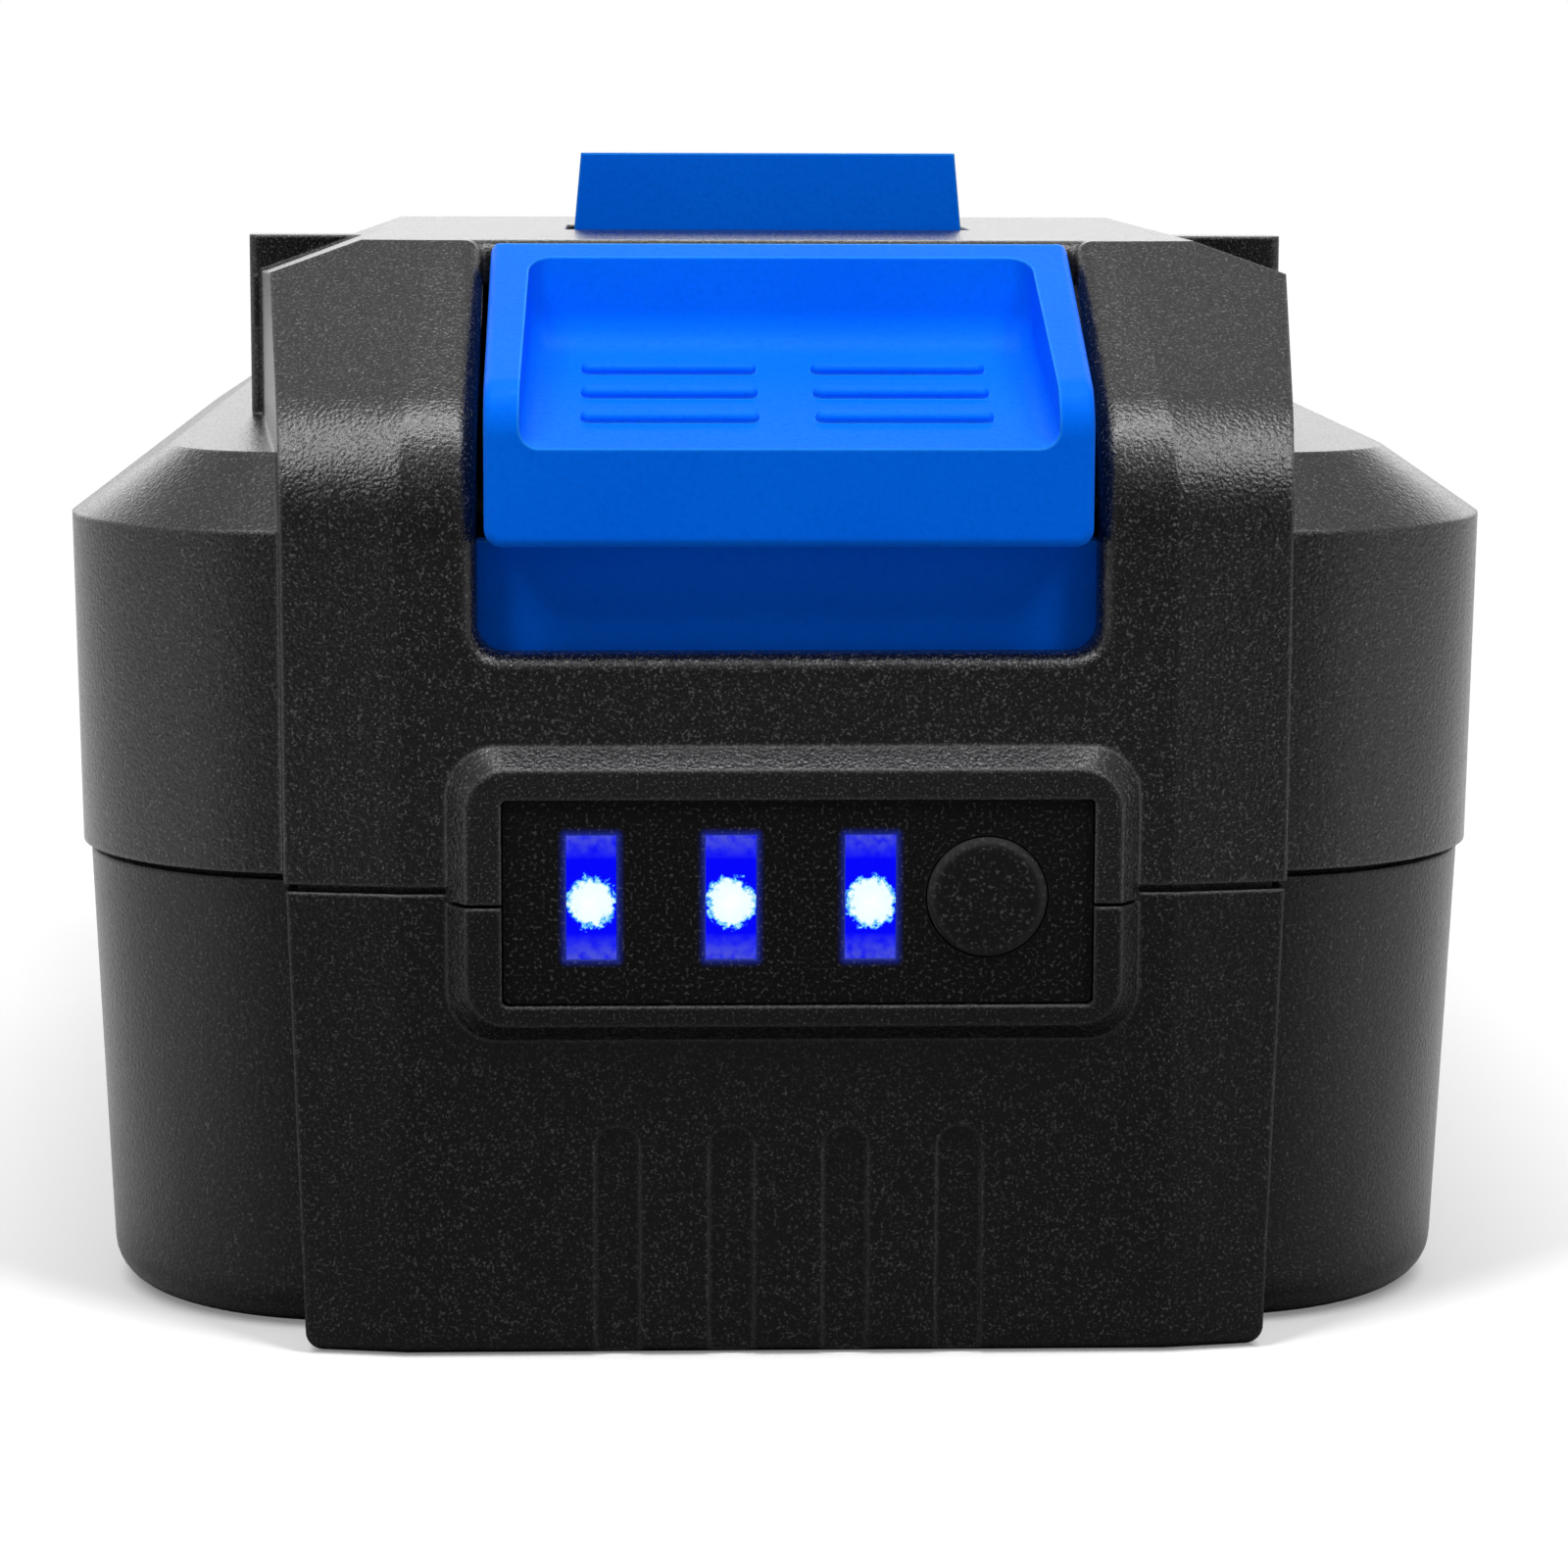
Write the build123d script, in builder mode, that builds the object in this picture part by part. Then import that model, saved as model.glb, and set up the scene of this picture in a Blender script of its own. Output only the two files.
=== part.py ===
"""Slide-on battery pack for a cordless power tool, in millimetres.

X runs across the pack, Y from the button end (negative) to the rear, Z up. The origin is
under the middle of the pack, on the surface that it stands on.
"""

import os
from math import atan2, cos, degrees, radians, sin, tan

from build123d import *

os.makedirs("parts", exist_ok=True)

# Cells
cell_diameter = 18.2
cell_length = 65.2
cell_columns = 5
column_web = 0.4
row_web = 0.6
cap_radius = 2.9
cap_height = 0.9
can_round = 0.6
crimp_depth = 0.35
crimp_width = 1.2
crimp_setback = 3.0
ring_width = 2.6

# Housing
wall = 2.2
tub_wall = 1.8
floor_wall = 1.9
end_room = 4.9
front_room = 7.94
rear_room = 8.3
tub_height = 24.2
front_corner = 13.6
rear_corner = 8.0
crease_corner = 6.7
upper_draft = 0.25
tub_step = 0.6
tub_draft = 0.9
shoulder_inset = 5.39
shoulder_drop = 3.62
roof_gap = 1.15
foot_round = 2.4
seam_notch = 0.2
seam_depth = 0.6

# Front block and head
block_rise = 3.76
block_half = 25.3
block_foot_half = 24.55
block_foot_round = 1.2
facet_half = 19.5
facet_angle = 10.0
flare_angle = 5.55
bend_rise = 0.75
bend_round = 8.0
slope_run = 15.6
head_rise = 10.65
flat_half = 22.0
top_chamfer_angle = 19.5
head_length = 37.0
platform_length = 61.0

# Rails and deck
ear_half = 29.6
ear_depth = 3.0
ear_round = 0.6
ear_drop = 0.4
neck_half = 24.8
lip_half = 29.4
channel_half = 20.0
groove_height = 5.05
lip_height = 2.9
deck_rise = 3.95
deck_wall = 2.0

# Grip grooves on the lower front
groove_width = 2.25
groove_top = 12.0
groove_depth = 0.5
groove_pitch = 5.8
groove_total = 4
groove_shift = 0.07

# Release latch
button_half = 15.17
button_proud = 1.0
button_front_height = 4.9
button_edge_rise = 0.2
button_bend_rise = 2.6
button_bend_round = 3.0
button_top_drop = 0.15
button_back_gap = 0.4
button_wall = 2.0
button_corner = 0.9
button_edge = 0.45
opening_half = 15.6
opening_corner = 1.4
opening_lip = 1.0
skirt_show = 5.5
skirt_cover = 1.4
skirt_side = 0.4
skirt_gap = 0.4
skirt_depth = 1.8
latch_gap = 0.3
arm_depth = 3.2
arm_half = 12.0
hook_setback = 35.0
hook_length = 8.0
hook_half = 10.6
hook_draft = 0.4
hook_rise = 4.3
hook_land = 1.6
hook_gap = 0.5
scoop_half = 13.4
scoop_back_half = 13.1
scoop_angle = 17.0
scoop_back_margin = 1.4
scoop_back_lean = 0.8
scoop_corner = 1.6
scoop_round = 1.0
scoop_back_round = 3.0
bar_length = 9.0
bar_width = 1.05
bar_height = 0.48
bar_round = 0.35
bar_pitch = 3.45
bar_first = 3.85
bar_rows = 3
bar_offset = 5.9
spring_radius = 2.2
spring_wire = 0.6
spring_turns = 5
spring_x = 9.0
spring_setback = 25.0
peg_radius = 1.5
peg_height = 1.0
guide_gap = 0.4
guide_width = 1.6
guide_length = 12.0

# Charge gauge
bezel_rise = 1.4
bezel_width = 34.95
bezel_height = 15.0
bezel_corner = 2.6
bezel_flank = 1.0
bezel_shift = 0.28
bezel_drop = 0.2
bezel_split_drop = 0.48
panel_width = 29.76
panel_height = 10.49
panel_shift = 0.48
panel_drop = 0.44
panel_corner = 0.3
panel_recess = 0.4
panel_fit = 0.08
flange_margin = 0.9
flange_depth = 0.8
window_width = 2.5
window_height = 6.26
window_pitch = 7.01
window_total = 3
window_first = -9.9
window_fit = 0.03
key_radius = 3.03
key_x = 9.98
key_fit = 0.08
key_dome = 0.25
key_cap_depth = 1.3
key_stem_radius = 1.2
key_travel = 0.3
plunger_radius = 1.0
plunger_fit = 0.08
switch_size = 4.4
switch_depth = 1.5
gauge_board_depth = 1.0
gauge_board_margin = 0.5
lamp_size = 1.6
lamp_depth = 0.8
wire_radius = 0.35
wire_pitch = 1.3
wire_total = 4
wire_bend = 1.5
wire_back_gap = 2.1
wire_drop = 2.2
wire_tail = 2.0

# Cell carrier
bore_gap = 0.1
cradle_web = 1.4
carrier_web = 0.7
carrier_side_web = 0.8
carrier_inner = 21.6
carrier_end_web = 0.75
carrier_end_gap = 0.05
carrier_clearance = 0.1
end_window_radius = 5.5
strip_thickness = 0.2
strip_half_width = 4.0
cup_radius = 3.0
sheet_thickness = 0.25
sheet_gap = 0.05
sheet_margin = 2.0

# Tray and boards
tray_thickness = 1.2
tray_half = 26.0
tray_margin = 1.0
board_half = 20.0
board_thickness = 1.6
board_front = 46.0
board_length = 55.0
board_end_gap = 1.0
board_screw_inset = 3.0
standoff_height = 1.4
standoff_radius = 2.0
board_screw_radius = 0.9
board_screw_head = 1.8
board_screw_head_height = 1.0
board_screw_bite = 1.6
screw_fit = 0.05
component_height = 1.7
terminal_x = 13.0
terminal_length = 9.0
terminal_height = 7.8
terminal_leaf = 0.6
terminal_gap = 1.4
terminal_slot = 2.6
terminal_setback = 0.6
connector_half = 7.4
connector_length = 8.0
connector_height = 7.4
connector_fit = 0.2
connector_slot_height = 1.6
connector_slot_depth = 6.0
contact_width = 0.8
contact_thickness = 0.4
contact_total = 5
tab_width = 6.0

# Case screws
front_boss_radius = 3.4
rear_boss_radius = 3.0
front_boss_gap = 1.3
rear_boss_gap = 0.4
boss_side_gap = 0.6
rear_boss_x = 17.0
boss_rise = 12.0
boss_web = 2.0
bore_radius = 2.2
bore_height = 16.0
screw_head_radius = 2.0
screw_head_height = 2.5
screw_radius = 1.2
screw_length = 18.0
screw_socket = 1.1
screw_socket_depth = 1.4
pilot_spare = 0.7

# Cuts run past the material by this much
overrun = 4.0

# Places worked out from the sizes
cell_radius = cell_diameter / 2
cell_half = cell_length / 2
column_pitch = cell_diameter + column_web
pack_half = cell_half + end_room
cells_long = cell_columns * cell_diameter + (cell_columns - 1) * column_web
cell_room = block_rise + front_room + cells_long + rear_room
board_room = board_front + board_length + board_end_gap + wall + shoulder_inset
pack_length = bezel_rise + max(cell_room, board_room)
bezel_y = -pack_length / 2
face_y = bezel_y + bezel_rise
shoulder_y = face_y + block_rise
first_cell_y = shoulder_y + front_room + cell_radius
rear_y = pack_length / 2
column_ys = [first_cell_y + i * column_pitch for i in range(cell_columns)]
cells_front_y = column_ys[0] - cell_radius
cells_rear_y = column_ys[-1] + cell_radius

low_row_z = floor_wall + cradle_web + cell_radius
row_zs = [low_row_z, low_row_z + cell_diameter + row_web]
carrier_top = row_zs[-1] + cell_radius + carrier_web
tray_top = carrier_top + tray_thickness
shoulder_z = tray_top + roof_gap + wall
ridge_z = shoulder_z - shoulder_drop
split_z = tub_height
platform_z = shoulder_z + head_rise
bend_z = shoulder_z + bend_rise
deck_z = shoulder_z + deck_rise
lip_z = shoulder_z + groove_height
rail_top = lip_z + lip_height
roof_z = shoulder_z - wall
slope_angle = atan2(platform_z - bend_z, slope_run)
chamfer_angle = atan2(shoulder_drop, shoulder_inset)
slope_y = face_y + slope_run
ear_y = face_y + head_length
platform_end_y = face_y + platform_length
rail_end_y = rear_y - shoulder_inset
ceiling_z = platform_z - wall

button_top_z = platform_z - button_top_drop
button_y = face_y - button_proud
button_back_y = slope_y - button_back_gap
button_edge_z = bend_z + button_edge_rise
button_low_z = button_edge_z - button_front_height
button_apex_z = button_edge_z + button_bend_rise
inner_half = button_half - button_wall
sill_z = button_low_z - skirt_show
skirt_y = face_y + wall + skirt_gap
skirt_low_z = sill_z - skirt_cover
skirt_half = opening_half + skirt_side
arm_top = ceiling_z - latch_gap
arm_low = arm_top - arm_depth
hook_y = face_y + hook_setback
hook_end_y = hook_y + hook_length
hook_top = platform_z + hook_rise
spring_y = face_y + spring_setback

gauge_z = split_z - bezel_drop
panel_z = split_z - panel_drop
panel_front_y = bezel_y + panel_recess
inner_face_y = face_y + wall
flange_end_y = inner_face_y + flange_depth
board_face_y = flange_end_y + panel_recess
gauge_board_end_y = board_face_y + gauge_board_depth

board_z = tray_top + standoff_height
board_top = board_z + board_thickness
board_y = face_y + board_front
board_end_y = board_y + board_length
carrier_front_y = cells_front_y - carrier_side_web
carrier_rear_y = cells_rear_y + carrier_side_web
tray_end_y = max(carrier_rear_y, board_end_y) - tray_margin
carrier_end = cell_half + carrier_end_gap + carrier_end_web
front_boss_y = cells_front_y - front_boss_gap - front_boss_radius
rear_boss_y = cells_rear_y + rear_boss_gap + rear_boss_radius
front_boss_x = skirt_half + boss_side_gap + front_boss_radius
boss_places = [
    (front_boss_x, front_boss_y, front_boss_radius),
    (-front_boss_x, front_boss_y, front_boss_radius),
    (rear_boss_x, rear_boss_y, rear_boss_radius),
    (-rear_boss_x, rear_boss_y, rear_boss_radius),
]


def across(y):
    """Plane across the pack at y, drawn in (-x, z), its normal to the rear."""
    return Plane(origin=(0, y, 0), x_dir=(-1, 0, 0), z_dir=(0, 1, 0))


def cuboid(low, high, mode=Mode.ADD):
    """Box in the current part from one corner to the opposite one."""
    middle = (Vector(*low) + Vector(*high)) / 2
    with Locations(middle):
        Box(*[b - a for a, b in zip(low, high)], mode=mode)


def post(x, y, radius, low_z, high_z, mode=Mode.ADD):
    """Upright cylinder in the current part between two heights."""
    with Locations((x, y, (low_z + high_z) / 2)):
        Cylinder(radius, high_z - low_z, mode=mode)


def mirrored(points):
    """Outline points with their mirror image across x = 0, in order."""
    return points + [(-x, y) for x, y in reversed(points)]


def outline_sketch(plane, points, rounded=None, radius=0):
    """Closed face through straight-edged outline points, with one of its corners rounded."""
    with BuildSketch(plane) as outline:
        with BuildLine():
            Polyline(*points, close=True)
        make_face()
        if rounded:
            fillet(outline.vertices().sort_by_distance(Vector(*rounded))[0], radius)
    return outline.sketch


def shoulder_outline(z, spread, front_radius, rear_radius):
    """Plan of the shoulders at height z, drawn in by spread on all sides."""
    front = shoulder_y + spread
    rear = rear_y - spread
    with BuildSketch(Plane.XY.offset(z)) as outline:
        with Locations((0, (front + rear) / 2)):
            Rectangle(2 * (pack_half - spread), rear - front)
        fillet(outline.vertices().group_by(Axis.Y)[0], front_radius)
        fillet(outline.vertices().group_by(Axis.Y)[-1], rear_radius)
    return outline.sketch


def upper_shoulders(inset, low_z):
    """Shoulders above the split, with their long chamfer, drawn in by inset."""
    ridge = ridge_z - inset * tan((radians(90) - chamfer_angle) / 2)
    crease_spread = shoulder_inset + inset * tan(chamfer_angle / 2)
    radii = (front_corner - inset, rear_corner - inset)
    ridge_outline = shoulder_outline(ridge, inset, *radii)
    with BuildPart() as form:
        loft([shoulder_outline(low_z, upper_draft + inset, *radii), ridge_outline], ruled=True)
        crease = shoulder_outline(shoulder_z - inset, crease_spread, crease_corner, crease_corner)
        loft([ridge_outline, crease], ruled=True)
    return form.part


def tub_shoulders(inset, low_z, foot):
    """Shoulders below the split, drafted towards the floor, drawn in by inset."""
    radii = (front_corner - inset, rear_corner - inset)
    with BuildPart() as form:
        low = shoulder_outline(low_z, tub_step + tub_draft + inset, *radii)
        high = shoulder_outline(split_z, tub_step + inset, *radii)
        loft([low, high], ruled=True)
        if foot:
            fillet(form.edges().group_by(Axis.Z)[0], foot)
    return form.part


def block_outline(z, half, inset, back):
    """Plan of the front block with its two turned-back facets, drawn in by inset."""
    side = half - inset
    front = face_y + inset
    edge = front + (side - facet_half) * tan(radians(facet_angle))
    points = mirrored([(side, back), (side, edge), (facet_half, front)])
    return outline_sketch(Plane.XY.offset(z), points)


def head_profile(plane, inset, low_z, depth):
    """Side view of the head, bent back from the upright face to the flat top."""
    bend = bend_z + inset * (tan(slope_angle) - 1 / cos(slope_angle))
    top = platform_z - inset
    run = inset + (top - bend) / tan(slope_angle)
    with BuildSketch(plane) as profile:
        with BuildLine():
            Polyline(
                (inset, low_z), (inset, bend), (run, top), (depth, top), (depth, low_z), close=True
            )
        make_face()
        bend_point = profile.vertices().sort_by_distance(Vector(inset, bend))[0]
        fillet(bend_point, bend_round - inset)
    return profile.sketch


def head_form(inset, low_z, end_y):
    """Front block above the split and the sloped head, drawn in by inset."""
    turn = radians(facet_angle)
    depth = end_y - face_y
    reach = 2 * block_half
    centre = Plane(origin=(0, face_y, 0), x_dir=(0, 1, 0), z_dir=(1, 0, 0))
    facets = [
        Plane(
            origin=(side * facet_half, face_y, 0),
            x_dir=(-side * sin(turn), cos(turn), 0),
            z_dir=(cos(turn), side * sin(turn), 0),
        )
        for side in (1, -1)
    ]
    front_half = block_half - inset
    rear_half = front_half + depth * tan(radians(flare_angle))
    flare = mirrored([(front_half, face_y), (rear_half, end_y)])
    top = platform_z - inset
    wide = 2 * block_half
    low_side = top - (wide - flat_half) * tan(radians(top_chamfer_angle))
    crown = mirrored([(wide, 0), (wide, low_side), (flat_half, top)])
    with BuildPart() as form:
        extrude(head_profile(centre, inset, low_z, 2 * depth), amount=reach, both=True)
        for plane in facets:
            profile = head_profile(plane, inset, low_z, 2 * depth)
            extrude(profile, amount=2 * reach, both=True, mode=Mode.INTERSECT)
        flare_sketch = outline_sketch(Plane.XY.offset(low_z), flare)
        extrude(flare_sketch, amount=platform_z, mode=Mode.INTERSECT)
        extrude(outline_sketch(across(face_y), crown), amount=depth, mode=Mode.INTERSECT)
    return form.part


def panel_outline(y, grow):
    """Rounded outline of the gauge opening at y, grown on all sides."""
    with BuildSketch(across(y)) as outline:
        with Locations((-panel_shift, panel_z)):
            width = panel_width + 2 * grow
            RectangleRounded(width, panel_height + 2 * grow, panel_corner + max(grow, 0))
    return outline.sketch


def bezel_outline(y, shrink):
    """Rounded outline of the frame round the gauge at y."""
    with BuildSketch(across(y)) as outline:
        with Locations((-bezel_shift, gauge_z)):
            width = bezel_width - 2 * shrink
            RectangleRounded(width, bezel_height - 2 * shrink, bezel_corner - shrink / 2)
    return outline.sketch


def bezel_half(low_z, high_z):
    """Raised frame round the gauge between two heights."""
    with BuildPart() as form:
        loft([bezel_outline(face_y, 0), bezel_outline(bezel_y, bezel_flank)], ruled=True)
        cuboid((-pack_half, bezel_y - overrun, low_z), (pack_half, face_y, high_z), Mode.INTERSECT)
    return form.part


def case_boss(x, y, radius, low_z, high_z, rear_wall_y):
    """Screw boss in the current part, tied to the front or rear wall that it stands near."""
    post(x, y, radius, low_z, high_z)
    half_web = boss_web / 2
    web_ends = (inner_face_y - wall / 2, y) if y < 0 else (y, rear_wall_y)
    cuboid((x - half_web, web_ends[0], low_z), (x + half_web, web_ends[1], high_z))


def on_outer_profile(edge):
    """Whether the middle of an edge lies on the head's outer front or slope."""
    middle = edge.position_at(0.5)
    if abs(middle.X) > opening_half + seam_notch or middle.Z < sill_z - seam_notch:
        return False
    upright = abs(middle.Y - face_y) < seam_notch
    drop = (platform_z - middle.Z) * cos(slope_angle) - (slope_y - middle.Y) * sin(slope_angle)
    return (upright and middle.Z < bend_z) or abs(drop) < 2 * seam_notch


def on_button_rim(edge):
    """Whether the middle of an edge lies on the button's outer sides or its lower front."""
    middle = edge.position_at(0.5)
    return abs(middle.X) > inner_half or middle.Z < button_low_z + seam_notch


# Shadow groove that runs round the outside at the split
with BuildPart() as seam_core:
    core_spread = tub_step + seam_depth
    core_z = split_z - seam_notch
    extrude(
        shoulder_outline(core_z, core_spread, front_corner, rear_corner), amount=2 * seam_notch
    )
    extrude(
        block_outline(core_z, block_half, seam_depth, cells_front_y), amount=2 * seam_notch
    )
    cuboid(
        (bezel_shift - bezel_width / 2, bezel_y - overrun, core_z),
        (bezel_shift + bezel_width / 2, face_y + wall, core_z + 2 * seam_notch),
    )

with BuildPart() as seam_ring:
    cuboid(
        (-pack_length, -pack_length, split_z - seam_notch),
        (pack_length, pack_length, split_z + seam_notch),
    )
    add(seam_core.part, mode=Mode.SUBTRACT)

# Upper housing: shoulders, head, ears, rails and terminal deck
bezel_split_z = split_z - bezel_split_drop
outer_shoulders = upper_shoulders(0, split_z)
inner_shoulders = upper_shoulders(wall, split_z - overrun)
outer_head = head_form(0, split_z, ear_y)
inner_head = head_form(wall, split_z - overrun, ear_y)
upper_bezel = bezel_half(bezel_split_z, platform_z)
neck_top = platform_z - (neck_half - flat_half) * tan(radians(top_chamfer_angle))
platform_points = mirrored([(neck_half, roof_z), (neck_half, neck_top), (flat_half, platform_z)])

with BuildPart() as head_block:
    add(outer_head)
    with BuildSketch(across(bezel_y - overrun)) as opening_face:
        with Locations((0, (sill_z + hook_top) / 2)):
            Rectangle(2 * opening_half, hook_top - sill_z)
        fillet(opening_face.vertices().group_by(Axis.Y)[0], opening_corner)
    extrude(amount=slope_y + button_back_gap - bezel_y + overrun, mode=Mode.SUBTRACT)
    fillet(head_block.edges().filter_by(on_outer_profile), opening_lip)

with BuildPart() as ears:
    ear_top = platform_z - ear_drop
    cuboid((-ear_half, ear_y, roof_z), (ear_half, ear_y + ear_depth, ear_top))
    fillet(ears.edges().filter_by(Axis.Z).group_by(Axis.Y)[0], ear_round)

with BuildPart() as upper_housing:
    add(outer_shoulders)
    add(head_block.part)
    add(upper_bezel)
    add(ears.part)
    cuboid((-neck_half, ear_y, roof_z), (neck_half, rail_end_y, deck_z))
    for side in (1, -1):
        neck_sides = sorted((side * channel_half, side * neck_half))
        lip_sides = sorted((side * channel_half, side * lip_half))
        cuboid((neck_sides[0], ear_y, roof_z), (neck_sides[1], rail_end_y, rail_top))
        cuboid((lip_sides[0], ear_y, lip_z), (lip_sides[1], rail_end_y, rail_top))
    extrude(outline_sketch(across(ear_y), platform_points), amount=platform_end_y - ear_y)

    # Hollow of the shell
    add(inner_shoulders, mode=Mode.SUBTRACT)
    add(inner_head, mode=Mode.SUBTRACT)
    hollow_half = neck_half - wall
    hollow_y = ear_y - wall
    cuboid(
        (-hollow_half, hollow_y, ridge_z),
        (hollow_half, platform_end_y - wall, ceiling_z),
        Mode.SUBTRACT,
    )
    cuboid(
        (-hollow_half, hollow_y, ridge_z),
        (hollow_half, rail_end_y - wall, deck_z - deck_wall),
        Mode.SUBTRACT,
    )

    # Screw bosses and the ribs that guide the latch
    pilot_top = bore_height + screw_length + pilot_spare
    for x, y, radius in boss_places:
        case_boss(x, y, radius, split_z, split_z + boss_rise, rear_y - wall / 2)
        post(x, y, screw_radius + screw_fit, split_z - overrun, pilot_top, Mode.SUBTRACT)
    for side in (1, -1):
        rib_x = side * (arm_half + guide_gap + guide_width / 2)
        cuboid(
            (rib_x - guide_width / 2, spring_y - guide_length / 2, arm_low),
            (rib_x + guide_width / 2, spring_y + guide_length / 2, ceiling_z + wall / 2),
        )

    # Openings for the hook, the terminals, the connector and the gauge
    slot_half = hook_half + hook_draft + hook_gap
    cuboid(
        (-slot_half, hook_y - hook_gap, ceiling_z - overrun / 2),
        (slot_half, hook_end_y + hook_gap, hook_top),
        Mode.SUBTRACT,
    )
    for side in (1, -1):
        cuboid(
            (side * terminal_x - terminal_slot / 2, platform_end_y - 2 * wall, deck_z),
            (side * terminal_x + terminal_slot / 2, platform_end_y + overrun, rail_top),
            Mode.SUBTRACT,
        )
    window_half = connector_half + connector_fit
    connector_top = board_top + connector_height
    cuboid(
        (-window_half, platform_end_y - 2 * wall, deck_z),
        (window_half, platform_end_y + overrun, connector_top + connector_fit),
        Mode.SUBTRACT,
    )
    extrude(
        panel_outline(bezel_y - overrun, 0),
        amount=inner_face_y - bezel_y + 2 * overrun,
        mode=Mode.SUBTRACT,
    )
    add(seam_ring.part, mode=Mode.SUBTRACT)
upper_housing.part.label = "upper_housing"
export_step(upper_housing.part, "parts/upper_housing.step")

# Lower housing: the tub with its bosses, counterbores and grip grooves
with BuildPart() as tub_block:
    foot_outline = block_outline(0, block_foot_half, 0, carrier_front_y)
    split_outline = block_outline(split_z, block_half, 0, carrier_front_y)
    loft([foot_outline, split_outline], ruled=True)
    fillet(tub_block.edges().group_by(Axis.Z)[0].sort_by(Axis.Y)[:-1], block_foot_round)

with BuildPart() as tub_hollow:
    low_hollow = block_outline(floor_wall, block_foot_half, wall, carrier_front_y)
    split_hollow = block_outline(split_z, block_half, wall, carrier_front_y)
    loft([low_hollow, split_hollow], ruled=True)
    extrude(split_hollow, amount=overrun)

outer_tub = tub_shoulders(0, 0, foot_round)
inner_tub = tub_shoulders(tub_wall, floor_wall, 0)
inner_tub_mouth = shoulder_outline(
    split_z, tub_step + tub_wall, front_corner - tub_wall, rear_corner - tub_wall
)
lower_bezel = bezel_half(0, bezel_split_z - seam_notch)
tub_rear_y = rear_y - tub_step - tub_draft - tub_wall / 2

with BuildPart() as lower_housing:
    add(outer_tub)
    add(tub_block.part)
    add(lower_bezel)
    add(inner_tub, mode=Mode.SUBTRACT)
    add(tub_hollow.part, mode=Mode.SUBTRACT)
    for x, y, radius in boss_places:
        case_boss(x, y, radius, floor_wall / 2, split_z, tub_rear_y)
        post(x, y, screw_radius + screw_fit, 0, split_z + overrun, Mode.SUBTRACT)
        post(x, y, bore_radius, -overrun, bore_height, Mode.SUBTRACT)
    extrude(inner_tub_mouth, amount=overrun, mode=Mode.SUBTRACT)
    extrude(
        panel_outline(bezel_y - overrun, 0),
        amount=inner_face_y - bezel_y + 2 * overrun,
        mode=Mode.SUBTRACT,
    )
    for i in range(groove_total):
        groove_x = (i - (groove_total - 1) / 2) * groove_pitch + groove_shift
        with BuildSketch(across(face_y - overrun)):
            with Locations((-groove_x, groove_top / 2 - groove_width)):
                SlotOverall(groove_top + 2 * groove_width, groove_width, rotation=90)
        extrude(amount=overrun + groove_depth, mode=Mode.SUBTRACT)
    add(seam_ring.part, mode=Mode.SUBTRACT)
lower_housing.part.label = "lower_housing"
export_step(lower_housing.part, "parts/lower_housing.step")

# Release latch: button, skirt, arm and hook in one moulding
floor_slope = tan(radians(scoop_angle))
scoop_back_y = button_back_y - scoop_back_margin
scoop_floor_y = scoop_back_y - scoop_back_lean
scoop_floor_z = button_edge_z + (scoop_floor_y - button_y) * floor_slope
button_inner_z = button_edge_z - button_wall

with BuildPart() as scoop:
    scoop_top = hook_top
    mouth_y = button_y - overrun
    mouth_spread = overrun * (scoop_half - scoop_back_half) / (scoop_back_y - button_y)
    side_view = [
        (mouth_y, button_edge_z - overrun * floor_slope),
        (scoop_floor_y, scoop_floor_z),
        (scoop_back_y, button_top_z),
        (scoop_back_y, scoop_top),
        (mouth_y, scoop_top),
    ]
    floor_end = (scoop_floor_y, scoop_floor_z)
    scoop_side = outline_sketch(Plane.YZ, side_view, floor_end, scoop_back_round)
    extrude(scoop_side, amount=2 * scoop_half, both=True)
    plan_points = mirrored([(scoop_half + mouth_spread, mouth_y), (scoop_back_half, scoop_back_y)])
    with BuildSketch(Plane.XY.offset(button_low_z - overrun)) as scoop_plan:
        with BuildLine():
            Polyline(*plan_points, close=True)
        make_face()
        fillet(scoop_plan.vertices().group_by(Axis.Y)[-1], scoop_corner)
    extrude(amount=scoop_top - button_low_z + overrun, mode=Mode.INTERSECT)
    floor_face = scoop.faces().sort_by(Axis.Z)[0]
    fillet(floor_face.edges().sort_by(Axis.Y)[1:], scoop_round)

# Hook that rises through the platform, upright in front and sloped behind
with BuildPart() as hook:
    hook_side = [
        (hook_y, arm_low),
        (hook_y, hook_top),
        (hook_y + hook_land, hook_top),
        (hook_end_y, platform_z),
        (hook_end_y, arm_low),
    ]
    foot_half = hook_half + hook_draft
    extrude(outline_sketch(Plane.YZ, hook_side), amount=foot_half, both=True)
    hook_front = mirrored([(foot_half, arm_low), (foot_half, platform_z), (hook_half, hook_top)])
    extrude(outline_sketch(across(hook_y), hook_front), amount=hook_length, mode=Mode.INTERSECT)

# Grip bars on the floor of the scoop
with BuildPart() as grip_bars:
    tilt = radians(scoop_angle)
    for i in range(bar_rows):
        bar_y = button_y + bar_first + i * bar_pitch * cos(tilt)
        bar_z = button_edge_z + (bar_y - button_y) * floor_slope
        bar_plane = Plane(origin=(0, bar_y, bar_z), x_dir=(1, 0, 0), z_dir=(0, -sin(tilt), cos(tilt)))
        with BuildSketch(bar_plane.offset(-bar_height)):
            with Locations((bar_offset, 0), (-bar_offset, 0)):
                SlotOverall(bar_length, bar_width)
        extrude(amount=2 * bar_height)
    for bar in grip_bars.solids():
        fillet(bar.faces().sort_by(Axis.Z)[-1].edges(), bar_round)

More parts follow.
